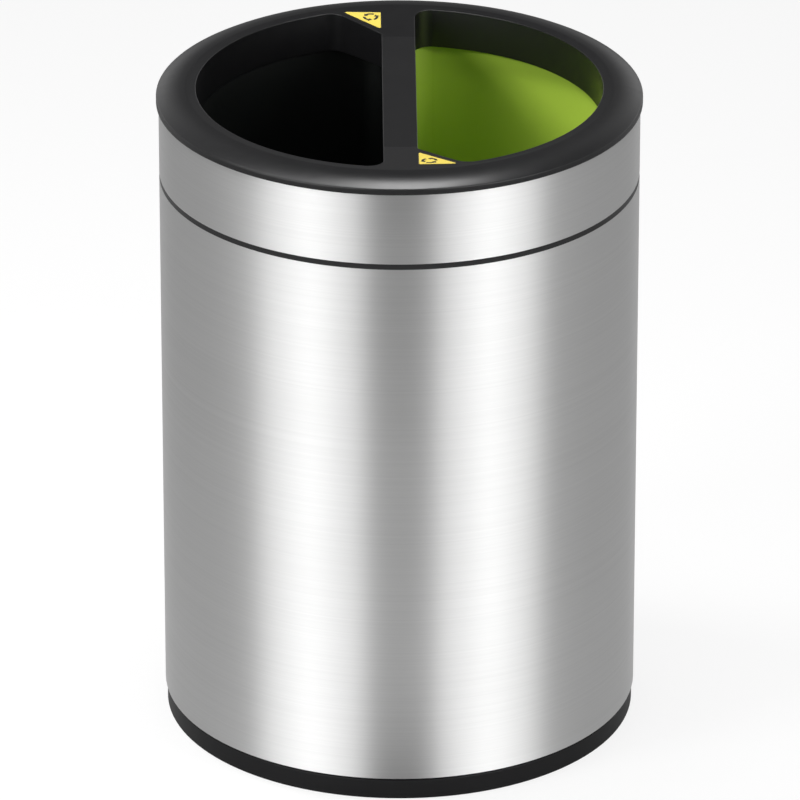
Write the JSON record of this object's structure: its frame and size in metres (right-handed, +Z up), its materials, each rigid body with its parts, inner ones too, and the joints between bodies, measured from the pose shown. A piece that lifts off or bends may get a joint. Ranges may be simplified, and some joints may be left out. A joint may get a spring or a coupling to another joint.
{
  "type": "double recycling bin",
  "caption": "Round steel bin with side-by-side half-round buckets under a lift-off black rim that has an open half-round mouth over each bucket.",
  "frame": {"origin": "on the floor, under the centre of the round body", "axes": "+Z up along the body, -Y the front, +X towards the green bucket"},
  "size_m": [0.303, 0.303, 0.4228],
  "materials": {
    "brushed_steel": "horizontally brushed",
    "black_moulding": "fine satin grain",
    "black_bucket_moulding": "satin",
    "green_moulding": "satin",
    "label_yellow": "printed film",
    "bail_steel": "powder coated",
    "screw_steel": "zinc plated",
    "rubber_pad": "matte"
  },
  "bodies": {
    "bin_body": {"body_shell": "brushed_steel", "base_pan": "black_moulding", "base_screws": "screw_steel", "foot_pad_1": "rubber_pad", "foot_pad_2": "rubber_pad", "foot_pad_3": "rubber_pad", "foot_pad_4": "rubber_pad", "body_top_ring": "black_moulding"},
    "cover": {"cover_band": "brushed_steel", "cover_rim": "black_moulding", "cover_lower_ring": "black_moulding", "cover_screws": "screw_steel", "label_front": "label_yellow", "label_rear": "label_yellow"},
    "green_liner": {"green_bucket": "green_moulding"},
    "black_liner": {"black_bucket": "black_bucket_moulding"},
    "green_handle": {"green_bail": "bail_steel", "green_grip": "black_moulding"},
    "black_handle": {"black_bail": "bail_steel", "black_grip": "black_moulding"}
  },
  "joints": [
    {"name": "cover_lift", "type": "slide", "parent": "bin_body", "child": "cover", "axis": [0, 0, 1], "range_m": [0, 0.64]},
    {"name": "green_bucket_lift", "type": "slide", "parent": "bin_body", "child": "green_liner", "axis": [0, 0, 1], "range_m": [0, 0.385]},
    {"name": "black_bucket_lift", "type": "slide", "parent": "bin_body", "child": "black_liner", "axis": [0, 0, 1], "range_m": [0, 0.385]},
    {"name": "green_bail_swing", "type": "hinge", "parent": "green_liner", "child": "green_handle", "pos_m": [0.057, 0, 0.4068], "axis": [0, -1, 0], "range_deg": [0, 90]},
    {"name": "black_bail_swing", "type": "hinge", "parent": "black_liner", "child": "black_handle", "pos_m": [-0.057, 0, 0.4068], "axis": [0, 1, 0], "range_deg": [0, 90]}
  ],
  "couplings": [
    {"joint": "green_bucket_lift", "follows": "cover_lift", "ratio": 0.6},
    {"joint": "black_bucket_lift", "follows": "cover_lift", "ratio": 0.6},
    {"joint": "green_bail_swing", "follows": "cover_lift", "rad_per_m": 2.4543},
    {"joint": "black_bail_swing", "follows": "cover_lift", "rad_per_m": 2.4543}
  ]
}
